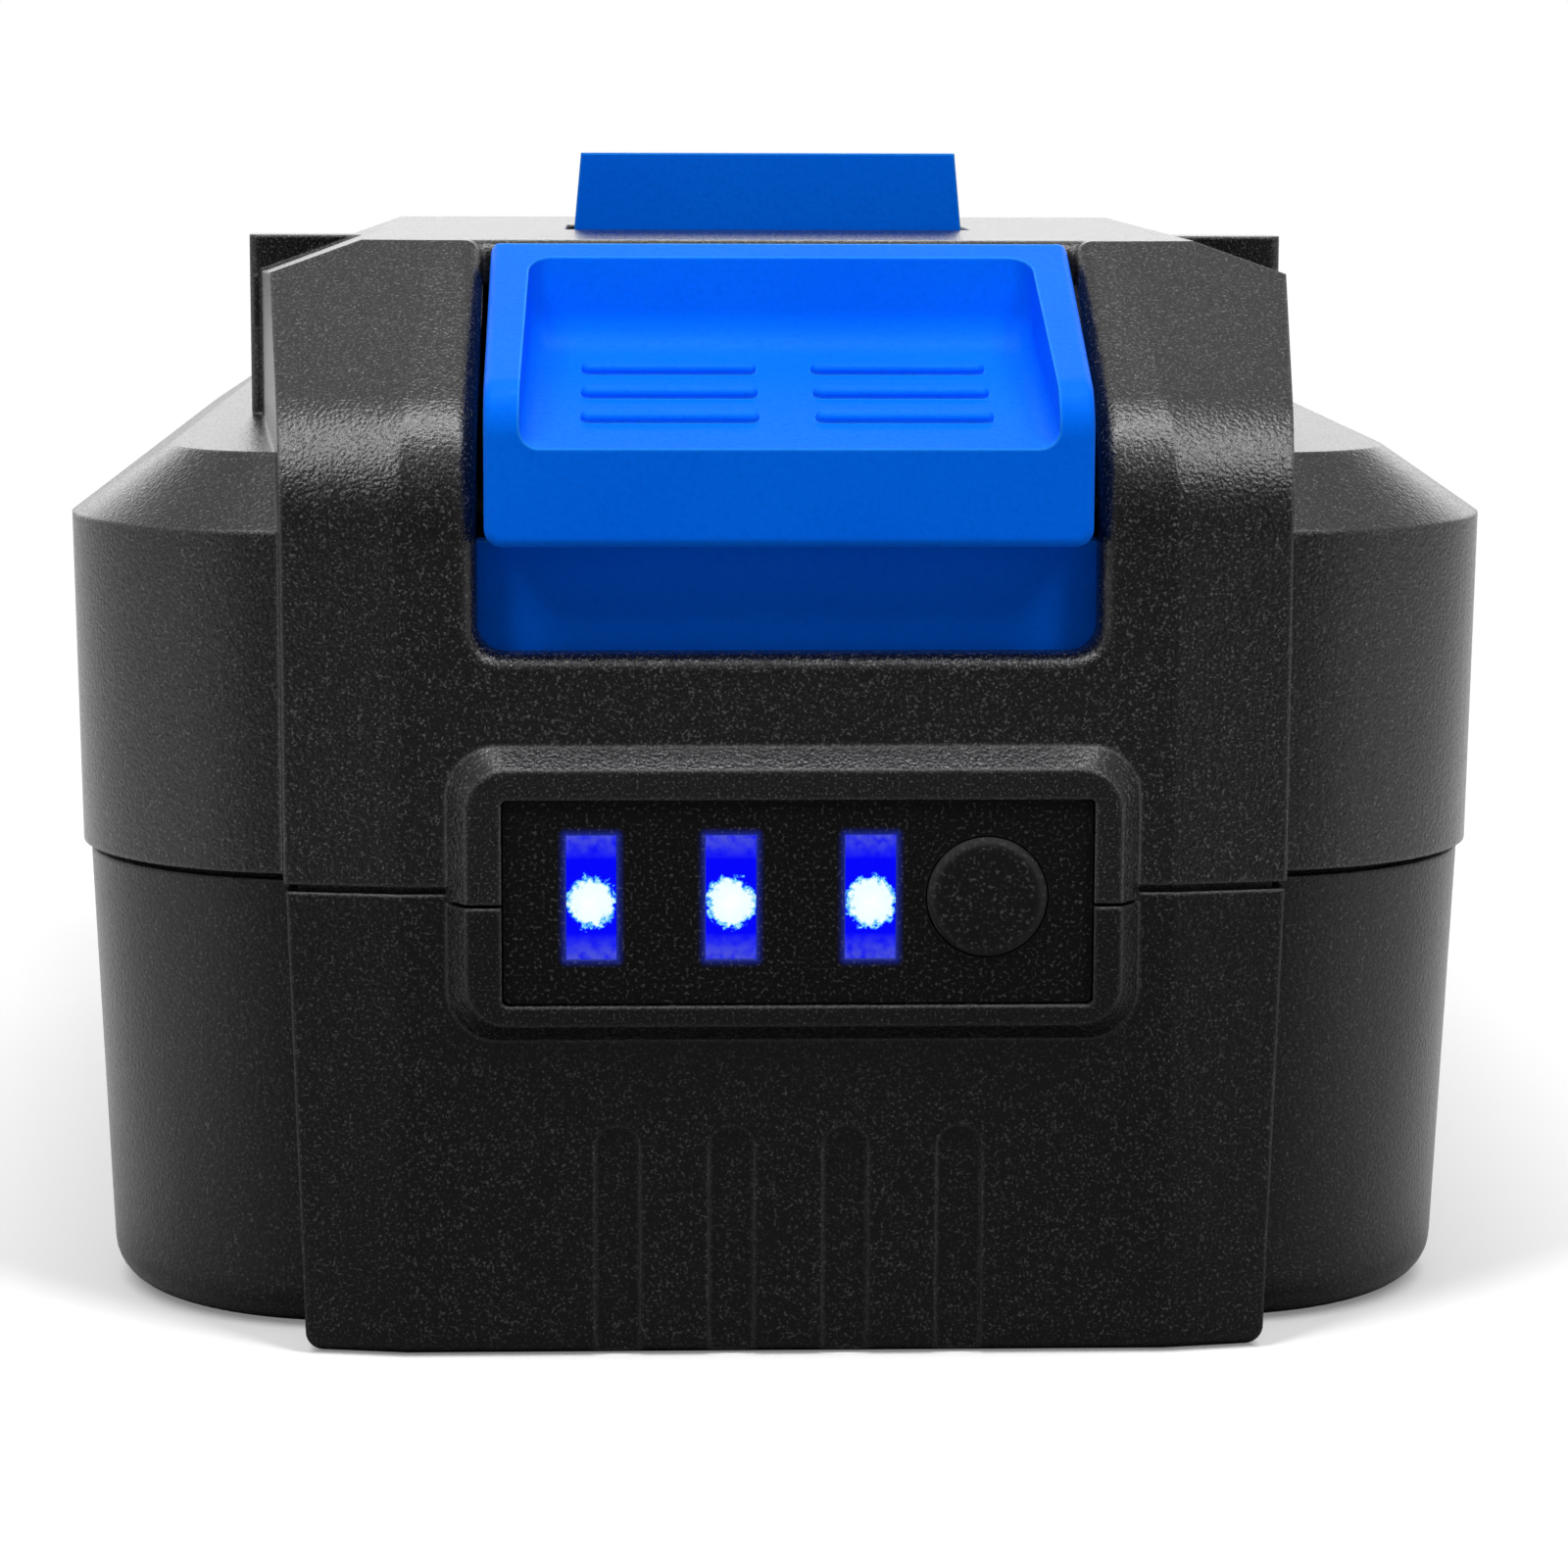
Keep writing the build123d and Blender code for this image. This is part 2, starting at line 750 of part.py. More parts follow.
with BuildPart() as release_latch:
    apex = (button_y, button_apex_z)
    button_side = [
        (button_y, button_low_z),
        apex,
        (button_back_y, button_top_z),
        (button_back_y, arm_low),
        (skirt_y + skirt_depth, button_low_z),
    ]
    side_sketch = outline_sketch(Plane.YZ, button_side, apex, button_bend_round)
    extrude(side_sketch, amount=button_half, both=True)
    fillet(release_latch.edges().filter_by(Axis.Y), button_corner)
    front_face = release_latch.faces().sort_by(Axis.Y)[0]
    bend_face = release_latch.faces().filter_by(GeomType.CYLINDER).sort_by(Axis.Z)[-1]
    slope_face = release_latch.faces().sort_by(Axis.Z)[-1]
    outer_edges = front_face.edges() + bend_face.edges() + slope_face.edges()
    fillet(outer_edges.filter_by(on_button_rim), button_edge)
    inside = [
        (button_y + button_wall, button_low_z - overrun),
        (button_y + button_wall, button_inner_z),
        (scoop_floor_y, scoop_floor_z - button_wall),
        (scoop_floor_y, button_low_z - overrun),
    ]
    extrude(outline_sketch(Plane.YZ, inside), amount=inner_half, both=True, mode=Mode.SUBTRACT)
    add(scoop.part, mode=Mode.SUBTRACT)
    skirt_end_y = skirt_y + skirt_depth
    cuboid((-skirt_half, skirt_y, skirt_low_z), (skirt_half, skirt_end_y, button_low_z))
    cuboid((-inner_half, skirt_y, button_low_z), (inner_half, skirt_end_y, button_inner_z))
    cuboid((-arm_half, scoop_back_y, arm_low), (arm_half, hook_end_y, arm_top))
    add(hook.part)
    for side in (1, -1):
        post(side * spring_x, spring_y, peg_radius, arm_low - peg_height, arm_low)
    add(grip_bars.part)
release_latch.part.label = "release_latch"
export_step(release_latch.part, "parts/release_latch.step")

# Latch return springs, between the arm's pegs and the tray's
for label, side in (("latch_spring_left", -1), ("latch_spring_right", 1)):
    wire_r = spring_wire / 2
    height = arm_low - tray_top - spring_wire
    with BuildPart() as latch_spring:
        with BuildLine() as coil:
            centre = (side * spring_x, spring_y, tray_top + wire_r)
            Helix(pitch=height / spring_turns, height=height, radius=spring_radius, center=centre)
        with BuildSketch(Plane(origin=coil.line @ 0, z_dir=coil.line % 0)):
            Circle(wire_r)
        sweep()
    latch_spring.part.label = label
    export_step(latch_spring.part, f"parts/{label}.step")


# Charge gauge: panel, windows, key, switch, board and lamps
window_xs = [window_first + i * window_pitch for i in range(window_total)]
board_gauge_half = panel_width / 2 - gauge_board_margin

with BuildPart() as gauge_panel:
    extrude(panel_outline(panel_front_y, -panel_fit), amount=inner_face_y - panel_front_y)
    extrude(panel_outline(inner_face_y, flange_margin), amount=flange_depth)
    extrude(panel_outline(flange_end_y, flange_margin), amount=board_face_y - flange_end_y)
    with BuildSketch(across(flange_end_y)):
        with Locations((-panel_shift, panel_z)):
            Rectangle(2 * board_gauge_half - gauge_board_margin, panel_height - gauge_board_margin)
    extrude(amount=board_face_y - flange_end_y, mode=Mode.SUBTRACT)
    with BuildSketch(across(panel_front_y - overrun)):
        with Locations(*[(-x, gauge_z) for x in window_xs]):
            Rectangle(window_width + 2 * window_fit, window_height + 2 * window_fit)
        with Locations((-key_x, gauge_z)):
            Circle(key_radius + key_fit)
    extrude(amount=flange_end_y - panel_front_y + overrun, mode=Mode.SUBTRACT)
gauge_panel.part.label = "gauge_panel"
export_step(gauge_panel.part, "parts/gauge_panel.step")

with BuildPart() as gauge_windows:
    with BuildSketch(across(panel_front_y)):
        with Locations(*[(-x, gauge_z) for x in window_xs]):
            Rectangle(window_width, window_height)
    extrude(amount=inner_face_y - panel_front_y)
gauge_windows.part.label = "gauge_windows"
export_step(gauge_windows.part, "parts/gauge_windows.step")

plunger_y = board_face_y - switch_depth - key_travel - screw_fit
key_front_y = panel_front_y - key_dome
with BuildPart() as gauge_button:
    with BuildSketch(across(key_front_y)):
        with Locations((-key_x, gauge_z)):
            Circle(key_radius)
    extrude(amount=key_cap_depth)
    fillet(gauge_button.edges().group_by(Axis.Y)[0], key_dome)
    with BuildSketch(across(key_front_y)):
        with Locations((-key_x, gauge_z)):
            Circle(key_stem_radius)
    extrude(amount=plunger_y - key_front_y)
gauge_button.part.label = "gauge_button"
export_step(gauge_button.part, "parts/gauge_button.step")

with BuildPart() as tact_switch:
    with BuildSketch(across(board_face_y - switch_depth)):
        with Locations((-key_x, gauge_z)):
            Rectangle(switch_size, switch_size)
            Circle(plunger_radius + plunger_fit, mode=Mode.SUBTRACT)
    extrude(amount=switch_depth)
tact_switch.part.label = "tact_switch"
export_step(tact_switch.part, "parts/tact_switch.step")

with BuildPart() as tact_plunger:
    with BuildSketch(across(plunger_y)):
        with Locations((-key_x, gauge_z)):
            Circle(plunger_radius)
    extrude(amount=board_face_y - 2 * key_travel - plunger_y)
tact_plunger.part.label = "tact_plunger"
export_step(tact_plunger.part, "parts/tact_plunger.step")

with BuildPart() as gauge_board:
    with BuildSketch(across(board_face_y)):
        with Locations((-panel_shift, panel_z)):
            Rectangle(2 * board_gauge_half, panel_height - gauge_board_margin / 2)
    extrude(amount=gauge_board_depth)
gauge_board.part.label = "gauge_board"
export_step(gauge_board.part, "parts/gauge_board.step")

with BuildPart() as gauge_lamps:
    with BuildSketch(across(board_face_y - lamp_depth)):
        with Locations(*[(-x, gauge_z) for x in window_xs]):
            Rectangle(lamp_size, lamp_size)
    extrude(amount=lamp_depth)
gauge_lamps.part.label = "gauge_lamps"
export_step(gauge_lamps.part, "parts/gauge_lamps.step")

# Cells, paired by rows and turned about from one column to the next
side_plane = Plane.YZ
column_sides = [-1 if i % 2 == 0 else 1 for i in range(cell_columns)]
cell_places = [(y, z, side) for y, side in zip(column_ys, column_sides) for z in row_zs]

for number, (y, z, side) in enumerate(cell_places, start=1):
    label = f"cell_{number:02d}"
    can_length = cell_length - cap_height
    with BuildPart() as cell:
        with BuildSketch(side_plane.offset(-side * cell_half)):
            with Locations((y, z)):
                Circle(cell_radius)
        extrude(amount=side * can_length)
        fillet(cell.edges().group_by(Axis.X)[0] + cell.edges().group_by(Axis.X)[-1], can_round)
        with BuildSketch(side_plane.offset(side * (cell_half - cap_height - crimp_setback))):
            with Locations((y, z)):
                Circle(cell_radius + overrun)
                Circle(cell_radius - crimp_depth, mode=Mode.SUBTRACT)
        extrude(amount=-side * crimp_width, mode=Mode.SUBTRACT)
    cell.part.label = label
    export_step(cell.part, f"parts/{label}.step")

with BuildPart() as cell_caps:
    for y, z, side in cell_places:
        with BuildSketch(side_plane.offset(side * (cell_half - cap_height))):
            with Locations((y, z)):
                Circle(cap_radius)
        extrude(amount=side * cap_height)
cell_caps.part.label = "cell_caps"
export_step(cell_caps.part, "parts/cell_caps.step")

with BuildPart() as cell_rings:
    for y, z, side in cell_places:
        with BuildSketch(side_plane.offset(side * (cell_half - cap_height))):
            with Locations((y, z)):
                Circle(cap_radius + bore_gap + ring_width)
                Circle(cap_radius + bore_gap, mode=Mode.SUBTRACT)
        extrude(amount=side * sheet_thickness)
cell_rings.part.label = "cell_rings"
export_step(cell_rings.part, "parts/cell_rings.step")

# Carriers that hold the cells' ends, shaped to the inside of the housing
with BuildPart() as carrier_room:
    add(tub_shoulders(tub_wall + carrier_clearance, floor_wall, 0))
    add(upper_shoulders(wall + carrier_clearance, split_z))

for label, side in (("cell_carrier_left", -1), ("cell_carrier_right", 1)):
    sides = sorted((side * carrier_inner, side * carrier_end))
    with BuildPart() as cell_carrier:
        cuboid(
            (sides[0], carrier_front_y, floor_wall), (sides[1], carrier_rear_y, carrier_top)
        )
        add(carrier_room.part, mode=Mode.INTERSECT)
        for y, z, cell_side in cell_places:
            with BuildSketch(side_plane):
                with Locations((y, z)):
                    Circle(cell_radius + bore_gap)
            extrude(amount=side * (cell_half + carrier_end_gap), mode=Mode.SUBTRACT)
            with BuildSketch(side_plane):
                with Locations((y, z)):
                    Circle(end_window_radius)
            extrude(amount=side * (carrier_end + overrun), mode=Mode.SUBTRACT)
    cell_carrier.part.label = label
    export_step(cell_carrier.part, f"parts/{label}.step")

# Nickel strips that join the columns in series, with welded cups on the cell ends
strip_groups = [(-1, i, min(i + 1, cell_columns - 1)) for i in range(0, cell_columns, 2)]
strip_groups += [(1, 0, 0)] + [(1, i, i + 1) for i in range(1, cell_columns - 1, 2)]
for number, (side, first, last) in enumerate(strip_groups, start=1):
    label = f"nickel_strip_{number}"
    strip_low_z = row_zs[0] - cell_radius / 2
    strip_high_z = row_zs[-1] + cell_radius / 2
    with BuildPart() as nickel_strip:
        with BuildSketch(side_plane.offset(side * carrier_end)):
            with Locations(
                ((column_ys[first] + column_ys[last]) / 2, (strip_low_z + strip_high_z) / 2)
            ):
                width = column_ys[last] - column_ys[first] + 2 * strip_half_width
                Rectangle(width, strip_high_z - strip_low_z)
        extrude(amount=side * strip_thickness)
        with BuildSketch(side_plane.offset(side * cell_half)):
            for i in range(first, last + 1):
                with Locations(*[(column_ys[i], z) for z in row_zs]):
                    Circle(cup_radius)
        extrude(amount=side * (carrier_end - cell_half))
    nickel_strip.part.label = label
    export_step(nickel_strip.part, f"parts/{label}.step")

# Insulating sheets between the strips and the housing
for label, side in (("insulator_left", -1), ("insulator_right", 1)):
    sheet_x = carrier_end + strip_thickness + sheet_gap
    sheet_sides = sorted((side * sheet_x, side * (sheet_x + sheet_thickness)))
    with BuildPart() as insulator:
        cuboid(
            (sheet_sides[0], carrier_front_y + sheet_margin, floor_wall + sheet_margin),
            (sheet_sides[1], carrier_rear_y - sheet_margin, carrier_top - sheet_margin),
        )
        add(carrier_room.part, mode=Mode.INTERSECT)
    insulator.part.label = label
    export_step(insulator.part, f"parts/{label}.step")

# Tray on the carriers, with pegs for the springs and standoffs for the board
screw_places = [
    (side * (board_half - board_screw_inset), y)
    for side in (1, -1)
    for y in (board_y + board_screw_inset, board_end_y - board_screw_inset)
]
with BuildPart() as board_tray:
    cuboid(
        (-tray_half, carrier_front_y + tray_margin, carrier_top),
        (tray_half, tray_end_y, tray_top),
    )
    add(carrier_room.part, mode=Mode.INTERSECT)
    for side in (1, -1):
        post(side * spring_x, spring_y, peg_radius, carrier_top, tray_top + peg_height)
    for x, y in screw_places:
        post(x, y, standoff_radius, tray_top, board_z)
        post(
            x, y, board_screw_radius + screw_fit, board_z - board_screw_bite, board_z, Mode.SUBTRACT
        )
board_tray.part.label = "board_tray"
export_step(board_tray.part, "parts/board_tray.step")

with BuildPart() as main_board:
    cuboid((-board_half, board_y, board_z), (board_half, board_end_y, board_top))
    for x, y in screw_places:
        post(x, y, board_screw_radius + bore_gap, board_z, board_top, Mode.SUBTRACT)
main_board.part.label = "main_board"
export_step(main_board.part, "parts/main_board.step")

with BuildPart() as board_screws:
    for x, y in screw_places:
        head_top = board_top + board_screw_head_height
        post(x, y, board_screw_head, board_top, head_top)
        post(x, y, board_screw_radius, board_z - board_screw_bite, board_top)
        post(x, y, board_screw_radius / 2, board_top + screw_fit, head_top, Mode.SUBTRACT)
board_screws.part.label = "board_screws"
export_step(board_screws.part, "parts/board_screws.step")

# Parts soldered on the board: switching transistors, a control chip and capacitors
chip_shares = [
    (-0.62, 0.40, 0.34, 0.13),
    (-0.18, 0.40, 0.34, 0.13),
    (0.26, 0.40, 0.34, 0.13),
    (-0.55, 0.62, 0.40, 0.10),
    (0.05, 0.60, 0.45, 0.16),
    (-0.60, 0.80, 0.20, 0.08),
    (-0.20, 0.84, 0.20, 0.08),
    (0.30, 0.84, 0.30, 0.06),
]
with BuildPart() as board_components:
    for x_share, y_share, width_share, length_share in chip_shares:
        chip_x = x_share * board_half
        chip_y = board_y + y_share * board_length
        cuboid(
            (chip_x, chip_y, board_top),
            (
                chip_x + width_share * board_half,
                chip_y + length_share * board_length,
                board_top + component_height,
            ),
        )
board_components.part.label = "board_components"
export_step(board_components.part, "parts/board_components.step")

# Power terminals: spring clips that take the tool's blades from behind
terminal_end_y = platform_end_y - wall - terminal_setback
terminal_y = terminal_end_y - terminal_length
for label, side in (("positive_terminal", -1), ("negative_terminal", 1)):
    terminal_top = board_top + terminal_height
    leaf_x = terminal_gap / 2 + terminal_leaf
    with BuildPart() as terminal:
        centre_x = side * terminal_x
        cuboid(
            (centre_x - leaf_x, terminal_y, board_top),
            (centre_x + leaf_x, terminal_end_y, terminal_top),
        )
        cuboid(
            (centre_x - terminal_gap / 2, terminal_y, board_top + terminal_leaf),
            (centre_x + terminal_gap / 2, terminal_end_y, terminal_top),
            Mode.SUBTRACT,
        )
    terminal.part.label = label
    export_step(terminal.part, f"parts/{label}.step")

# Data connector and its contacts
connector_end_y = platform_end_y - terminal_setback
connector_y = connector_end_y - connector_length
slot_z = deck_z + deck_wall / 2
with BuildPart() as data_connector:
    cuboid(
        (-connector_half, connector_y, board_top),
        (connector_half, platform_end_y - wall - connector_fit, connector_top),
    )
    cuboid(
        (-connector_half, connector_y, deck_z + connector_fit),
        (connector_half, connector_end_y, connector_top),
    )
    cuboid(
        (-connector_half + deck_wall / 2, connector_end_y - connector_slot_depth, slot_z),
        (connector_half - deck_wall / 2, platform_end_y, slot_z + connector_slot_height),
        Mode.SUBTRACT,
    )
data_connector.part.label = "data_connector"
export_step(data_connector.part, "parts/data_connector.step")

with BuildPart() as data_contacts:
    contact_pitch = (2 * connector_half - deck_wall) / (contact_total + 1)
    for i in range(contact_total):
        contact_x = (i - (contact_total - 1) / 2) * contact_pitch
        cuboid(
            (contact_x - contact_width / 2, connector_end_y - connector_slot_depth, slot_z),
            (
                contact_x + contact_width / 2,
                connector_end_y - contact_width,
                slot_z + contact_thickness,
            ),
        )
data_contacts.part.label = "data_contacts"
export_step(data_contacts.part, "parts/data_contacts.step")

# Straps from the end strips over the tray to the board
strap_x = carrier_end + strip_thickness / 2
strap_low_z = carrier_top + strip_thickness / 2
strap_high_z = tray_top + strip_thickness / 2
step_x = tray_half + strip_thickness
strap_end_x = board_half - 2 * strip_thickness


def strap(side, points, y, width):
    """Bent strip in the current part, its path drawn across the pack."""
    with BuildSketch(across(y)) as section:
        with BuildLine():
            Polyline(*[(-side * x, z) for x, z in points])
        trace(line_width=strip_thickness)
    extrude(section.sketch, amount=width)


strip_top_z = row_zs[-1] + cell_radius / 2
climb = [
    (strap_x, strip_top_z),
    (strap_x, strap_low_z),
    (step_x, strap_low_z),
    (step_x, strap_high_z),
]
landing = [(strap_end_x, strap_high_z), (strap_end_x, board_z)]
with BuildPart() as positive_strap:
    strap(-1, climb + landing, column_ys[-1] - tab_width / 2, tab_width)
positive_strap.part.label = "positive_strap"
export_step(positive_strap.part, "parts/positive_strap.step")

run_x = board_half + standoff_radius
with BuildPart() as negative_strap:
    strap(1, climb + [(run_x, strap_high_z)], column_ys[0] - tab_width / 2, tab_width)
    landing_y = board_y + 2 * board_screw_inset
    cuboid(
        (run_x, column_ys[0] - tab_width / 2, tray_top),
        (run_x + tab_width / 2, landing_y + tab_width, tray_top + strip_thickness),
    )
    strap(1, [(run_x + tab_width / 2, strap_high_z)] + landing, landing_y, tab_width)
negative_strap.part.label = "negative_strap"
export_step(negative_strap.part, "parts/negative_strap.step")

# Wires from the gauge board over the tray to the main board
wire_rise_y = cells_front_y - wire_back_gap
wire_z = tray_top + wire_radius
wire_start_z = panel_z + wire_drop
with BuildPart() as gauge_wires:
    for i in range(wire_total):
        wire_x = (i - (wire_total - 1) / 2) * wire_pitch
        with BuildLine() as route:
            FilletPolyline(
                (wire_x, gauge_board_end_y, wire_start_z),
                (wire_x, wire_rise_y, wire_start_z),
                (wire_x, wire_rise_y, wire_z),
                (wire_x, board_y + wire_tail, wire_z),
                (wire_x, board_y + wire_tail, board_z),
                radius=[wire_bend, wire_bend, 2 * wire_radius],
            )
        with BuildSketch(Plane(origin=route.line @ 0, z_dir=route.line % 0)):
            Circle(wire_radius)
        sweep(path=route.line)
gauge_wires.part.label = "gauge_wires"
export_step(gauge_wires.part, "parts/gauge_wires.step")

# Case screws, driven up from the floor
with BuildPart() as case_screws:
    for x, y, radius in boss_places:
        post(x, y, screw_head_radius, bore_height - screw_head_height, bore_height)
        post(x, y, screw_radius, bore_height, bore_height + screw_length)
        socket_low = bore_height - screw_head_height
        with BuildSketch(Plane.XY.offset(socket_low)):
            with Locations((x, y)):
                RegularPolygon(screw_socket, 6)
        extrude(amount=screw_socket_depth, mode=Mode.SUBTRACT)
case_screws.part.label = "case_screws"
export_step(case_screws.part, "parts/case_screws.step")
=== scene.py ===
"""Looks of a slide-on battery pack for a cordless power tool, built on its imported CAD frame."""

import math

import bmesh
import bpy
from mathutils import Matrix, Vector


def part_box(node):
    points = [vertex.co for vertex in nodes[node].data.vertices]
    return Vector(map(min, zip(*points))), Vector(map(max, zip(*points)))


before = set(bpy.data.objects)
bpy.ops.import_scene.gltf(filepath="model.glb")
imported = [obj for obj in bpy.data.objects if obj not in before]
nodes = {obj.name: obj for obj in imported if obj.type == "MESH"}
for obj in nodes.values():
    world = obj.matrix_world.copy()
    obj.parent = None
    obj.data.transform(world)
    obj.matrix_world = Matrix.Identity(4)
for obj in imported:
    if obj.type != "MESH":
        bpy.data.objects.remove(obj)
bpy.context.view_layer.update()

MM = 0.001
METRE_IN_MM = 1000

# The parts of a noise's values that are spread from 0 to 1
NOISE_RANGE = (0.3, 0.7)
PATCH_RANGE = (0.35, 0.7)
FLECK_RANGE = (0.56, 0.7)

# Gauge windows, side by side across the panel
WINDOW_HALF = 1.25 * MM
WINDOW_PITCH = 7.01 * MM


# Camera

def set_camera():
    """Camera at the photograph's viewing angle, found by fitting its known edges."""
    yaw, pitch, roll = 0.0355, 0.1504, 0.003
    place = Vector((-8.292, -282.89, 64.063)) * MM
    focal_pixels, photo_pixels = 4673.93, 1600
    sensor_mm = 36
    nearest, farthest = 0.01, 20
    ahead = Vector(
        (math.sin(yaw) * math.cos(pitch), math.cos(yaw) * math.cos(pitch), -math.sin(pitch))
    )
    right = Vector((math.cos(yaw), -math.sin(yaw), 0))
    above = right.cross(ahead)
    right_rolled = right * math.cos(roll) + above * math.sin(roll)
    above_rolled = above * math.cos(roll) - right * math.sin(roll)
    camera = bpy.data.objects.new("camera", bpy.data.cameras.new("camera"))
    camera.data.sensor_width = sensor_mm
    camera.data.lens = sensor_mm * focal_pixels / photo_pixels
    camera.data.clip_start = nearest
    camera.data.clip_end = farthest
    turn = Matrix((right_rolled, above_rolled, -ahead)).transposed().to_4x4()
    camera.matrix_world = Matrix.Translation(place) @ turn
    bpy.context.scene.collection.objects.link(camera)
    bpy.context.scene.camera = camera


# Node helpers

def shade(colour, times=1):
    """Opaque colour, made this many times as bright."""
    return (*[c * times for c in colour], 1)


def grey(level):
    """Opaque grey of this brightness."""
    return (level, level, level, 1)


class NodeKit:
    """A node tree, with short calls for the nodes that materials and surroundings share."""

    def __init__(self, tree):
        self.tree = tree

    def add(self, kind, settings=None, **inputs):
        """New node; an input is given by its name, or as i and its number, and may be an output."""
        node = self.tree.nodes.new(kind)
        for key, value in (settings or {}).items():
            setattr(node, key, value)
        for key, value in inputs.items():
            numbered = key[0] == "i" and key[1:].isdigit()
            socket = node.inputs[int(key[1:]) if numbered else key.replace("_", " ")]
            if isinstance(value, bpy.types.NodeSocket):
                self.tree.links.new(value, socket)
            else:
                socket.default_value = value
        return node

    def maths(self, operation, first, second=0.0):
        """Sum, product or other operation on two values."""
        return self.add("ShaderNodeMath", {"operation": operation}, i0=first, i1=second).outputs[0]

    def axis(self, place, name):
        """One coordinate of a place."""
        return self.add("ShaderNodeSeparateXYZ", Vector=place).outputs[name]

    def length(self, first, second):
        """Length of the diagonal over two distances at right angles."""
        squares = self.maths("POWER", first, 2.0), self.maths("POWER", second, 2.0)
        return self.maths("SQRT", self.maths("ADD", *squares))

    def spread(self, value, low, high, to_low=0.0, to_high=1.0, curve="LINEAR"):
        """Maps a range of value to another one, clamped."""
        node = self.add(
            "ShaderNodeMapRange",
            {"interpolation_type": curve},
            Value=value,
            From_Min=low,
            From_Max=high,
            To_Min=to_low,
            To_Max=to_high,
        )
        return node.outputs["Result"]

    def seen(self, path):
        """1 for rays from the camera, also through something clear, and 0 for all others."""
        return self.maths("MAXIMUM", path["Is Camera Ray"], path["Is Transmission Ray"])


class Finish(NodeKit):
    """A material whose look is worked out from the piece's own coordinates."""

    def __init__(self, name, colour, roughness, specular=0.5, metallic=0.0):
        self.material = bpy.data.materials.new(name)
        self.material.use_nodes = True
        super().__init__(self.material.node_tree)
        self.shader = self.tree.nodes["Principled BSDF"]
        self.shader.inputs["Base Color"].default_value = shade(colour)
        self.shader.inputs["Roughness"].default_value = roughness
        self.shader.inputs["Specular IOR Level"].default_value = specular
        self.shader.inputs["Metallic"].default_value = metallic
        self.place = self.add("ShaderNodeTexCoord").outputs["Object"]
        self.normal = None

    def link(self, output, socket):
        """Leads an output to a socket of the shader."""
        self.tree.links.new(output, self.shader.inputs[socket])

    # Patterns

    def noise(self, size_mm, detail=2.0, rough=0.5, place=None):
        """Noise whose features are about size_mm across, from 0 to 1."""
        node = self.add(
            "ShaderNodeTexNoise",
            Vector=place or self.place,
            Scale=METRE_IN_MM / size_mm,
            Detail=detail,
            Roughness=rough,
        )
        return node.outputs["Fac"]

    def cells(self, size_mm):
        """Pattern of soft cells about size_mm across."""
        scale = METRE_IN_MM / size_mm
        node = self.add(
            "ShaderNodeTexVoronoi", {"feature": "SMOOTH_F1"}, Vector=self.place, Scale=scale
        )
        return node.outputs["Distance"]

    def flecks(self, size_mm):
        """Mask of scattered flecks about size_mm across."""
        return self.spread(self.noise(size_mm, detail=2, rough=0.6), *FLECK_RANGE)

    # Colours

    def mix(self, factor, first, second):
        """Colour between two colours."""
        node = self.add("ShaderNodeMix", {"data_type": "RGBA"}, i0=factor, i6=first, i7=second)
        return node.outputs[2]

    def cover(self, source, colour, mask, share):
        """Lays a colour over source where the mask is, with this share at most."""
        return self.mix(self.maths("MULTIPLY", mask, share), source, shade(colour))

    def drift(self, first, second, size_mm, detail):
        """Colour that drifts between two colours in broad patches."""
        return self.mix(self.spread(self.noise(size_mm, detail), *PATCH_RANGE), first, second)

    def ramp(self, value, stops, interpolation="LINEAR"):
        """Colour by value, through these stops of place and colour."""
        node = self.add("ShaderNodeValToRGB", Fac=value)
        bar = node.color_ramp
        bar.interpolation = interpolation
        for element, (position, colour) in zip(bar.elements, (stops[0], stops[-1])):
            element.position = position
            element.color = shade(colour)
        for position, colour in stops[1:-1]:
            bar.elements.new(position).color = shade(colour)
        return node.outputs["Color"]

    # Surface

    def roughen(self, value, low, high):
        """Roughness from low to high along a noise."""
        self.link(self.spread(value, *NOISE_RANGE, low, high), "Roughness")

    def soften(self, radius_mm):
        """Rounds the look of sharp edges, and gives a mask of 1 along them."""
        flat_dot, edge_dot = 0.99, 0.86
        bevel = self.add("ShaderNodeBevel", {"samples": 4}, Radius=radius_mm * MM)
        self.normal = bevel.outputs["Normal"]
        true = self.add("ShaderNodeNewGeometry").outputs["True Normal"]
        product = {"operation": "DOT_PRODUCT"}
        dot = self.add("ShaderNodeVectorMath", product, i0=self.normal, i1=true)
        return self.spread(dot.outputs["Value"], flat_dot, edge_dot)

    def bump(self, height, depth_mm):
        """Bump of this height, on top of the softened edges where there are any."""
        node = self.add("ShaderNodeBump", Distance=depth_mm * MM, Height=height)
        if self.normal is not None:
            self.tree.links.new(self.normal, node.inputs["Normal"])
        self.link(node.outputs["Normal"], "Normal")

    def give(self, *names):
        """Puts the finish on these nodes."""
        for name in names:
            for slot in nodes[name].material_slots:
                slot.material = self.material


# Housing and latch

